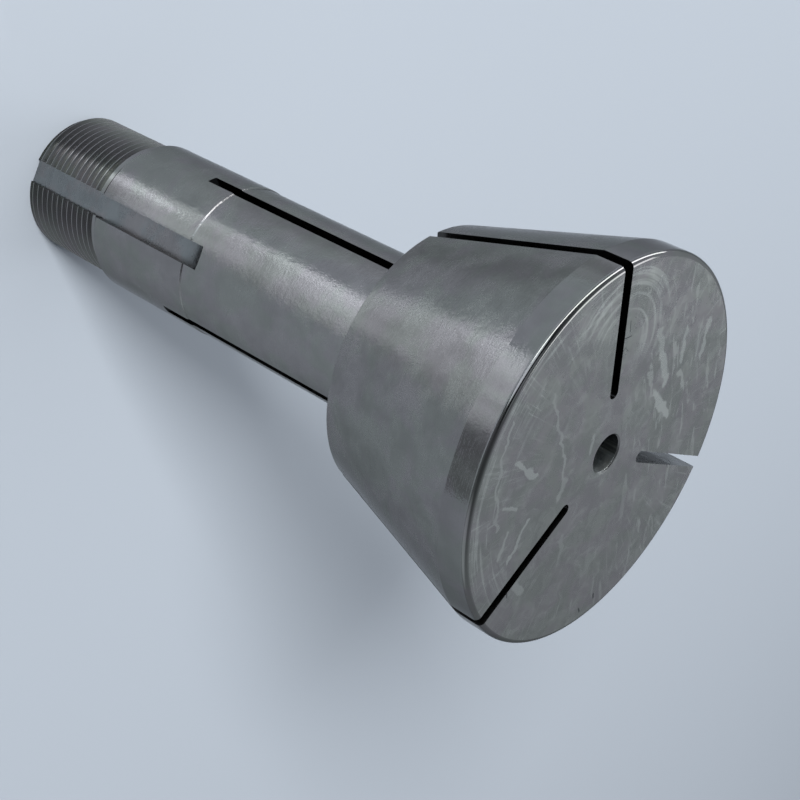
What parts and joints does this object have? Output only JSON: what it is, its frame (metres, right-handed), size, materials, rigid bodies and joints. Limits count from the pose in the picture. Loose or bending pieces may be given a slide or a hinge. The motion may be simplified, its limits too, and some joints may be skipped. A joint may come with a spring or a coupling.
{
  "type": "bell collet",
  "caption": "Bell-shaped lathe collet: threaded, keyed hollow shank widening into a slotted conical head with a flat face and a small pilot hole.",
  "frame": {"origin": "on the collet's axis, at the threaded rear end, which it stands on", "axes": "+Z along the axis from the threaded end to the workholding face; +X through one of the three slots, so the keyway faces -X"},
  "size_m": [0.0724, 0.0724, 0.1425],
  "materials": {
    "ground_steel": "hardened steel, ground on the bearing, fine turned on the cone, stained on the face"
  },
  "bodies": {
    "root": {"bell_collet": "ground_steel"}
  },
  "joints": []
}
